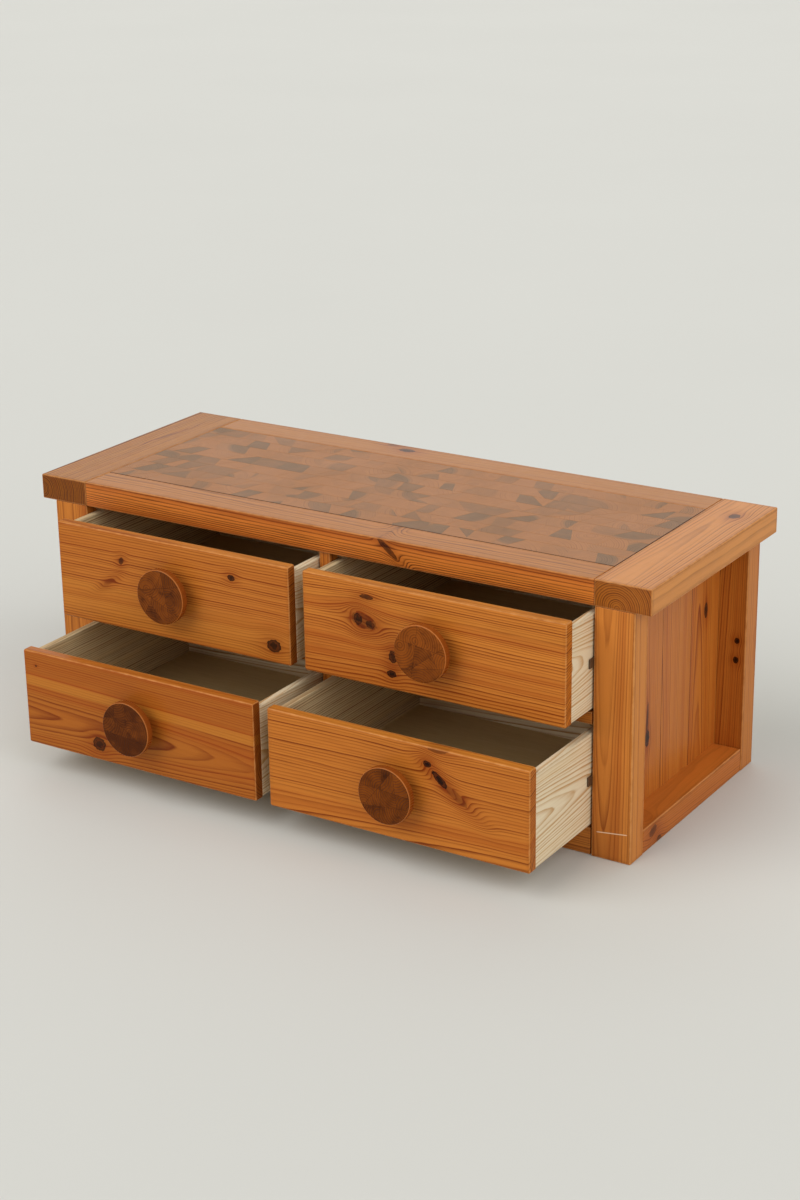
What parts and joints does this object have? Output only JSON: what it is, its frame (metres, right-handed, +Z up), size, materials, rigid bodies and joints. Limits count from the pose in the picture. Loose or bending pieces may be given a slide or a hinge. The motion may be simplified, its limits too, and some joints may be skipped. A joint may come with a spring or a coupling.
{
  "type": "lowboy",
  "caption": "Low pine chest with two columns of drawers on wooden runners, large round knobs and a framed end-grain top.",
  "frame": {"origin": "on the floor at the centre of the case's footprint, on the underside of the middle bearer", "axes": "+X to the right along the front, +Y to the back, +Z up; the drawers pull out along -Y"},
  "size_m": [1.2, 0.69, 0.47],
  "materials": {
    "lacquered_pine": "satin lacquer",
    "endgrain_pine": "satin lacquer on end grain",
    "raw_pine": "bare planed wood",
    "plywood": "bare sheet",
    "steel": "zinc plated"
  },
  "bodies": {
    "case": {"top_front_rail": "lacquered_pine", "top_back_rail": "lacquered_pine", "top_support_panel": "plywood", "top_endgrain_panel": "endgrain_pine", "toe_rail": "lacquered_pine", "centre_post": "lacquered_pine", "partition": "raw_pine", "middle_bearer": "raw_pine", "back_rail": "raw_pine", "back_panel": "plywood", "side_guides": "lacquered_pine", "runner_screws": "steel", "back_nails": "steel", "top_end_board_left": "lacquered_pine", "front_post_left": "lacquered_pine", "back_post_left": "lacquered_pine", "side_boards_left": "lacquered_pine", "bottom_side_rail_left": "lacquered_pine", "mid_rail_left": "lacquered_pine", "runners_upper_left": "raw_pine", "runners_lower_left": "raw_pine", "kickers_left": "raw_pine", "top_end_board_right": "lacquered_pine", "front_post_right": "lacquered_pine", "back_post_right": "lacquered_pine", "side_boards_right": "lacquered_pine", "bottom_side_rail_right": "lacquered_pine", "mid_rail_right": "lacquered_pine", "runners_upper_right": "raw_pine", "runners_lower_right": "raw_pine", "kickers_right": "raw_pine"},
    "drawer_upper_left": {"drawer_upper_left_front": "lacquered_pine", "drawer_upper_left_side_left": "raw_pine", "drawer_upper_left_side_right": "raw_pine", "drawer_upper_left_back": "raw_pine", "drawer_upper_left_bottom": "plywood", "drawer_upper_left_knob": "endgrain_pine", "drawer_upper_left_knob_screw": "steel"},
    "drawer_upper_right": {"drawer_upper_right_front": "lacquered_pine", "drawer_upper_right_side_left": "raw_pine", "drawer_upper_right_side_right": "raw_pine", "drawer_upper_right_back": "raw_pine", "drawer_upper_right_bottom": "plywood", "drawer_upper_right_knob": "endgrain_pine", "drawer_upper_right_knob_screw": "steel"},
    "drawer_lower_left": {"drawer_lower_left_front": "lacquered_pine", "drawer_lower_left_side_left": "raw_pine", "drawer_lower_left_side_right": "raw_pine", "drawer_lower_left_back": "raw_pine", "drawer_lower_left_bottom": "plywood", "drawer_lower_left_knob": "endgrain_pine", "drawer_lower_left_knob_screw": "steel"},
    "drawer_lower_right": {"drawer_lower_right_front": "lacquered_pine", "drawer_lower_right_side_left": "raw_pine", "drawer_lower_right_side_right": "raw_pine", "drawer_lower_right_back": "raw_pine", "drawer_lower_right_bottom": "plywood", "drawer_lower_right_knob": "endgrain_pine", "drawer_lower_right_knob_screw": "steel"}
  },
  "joints": [
    {"name": "drawer_upper_left_slide", "type": "slide", "parent": "case", "child": "drawer_upper_left", "axis": [0, -1, 0], "range_m": [-0.085, 0.235]},
    {"name": "drawer_upper_right_slide", "type": "slide", "parent": "case", "child": "drawer_upper_right", "axis": [0, -1, 0], "range_m": [-0.085, 0.235]},
    {"name": "drawer_lower_left_slide", "type": "slide", "parent": "case", "child": "drawer_lower_left", "axis": [0, -1, 0], "range_m": [-0.195, 0.125]},
    {"name": "drawer_lower_right_slide", "type": "slide", "parent": "case", "child": "drawer_lower_right", "axis": [0, -1, 0], "range_m": [-0.195, 0.125]}
  ]
}
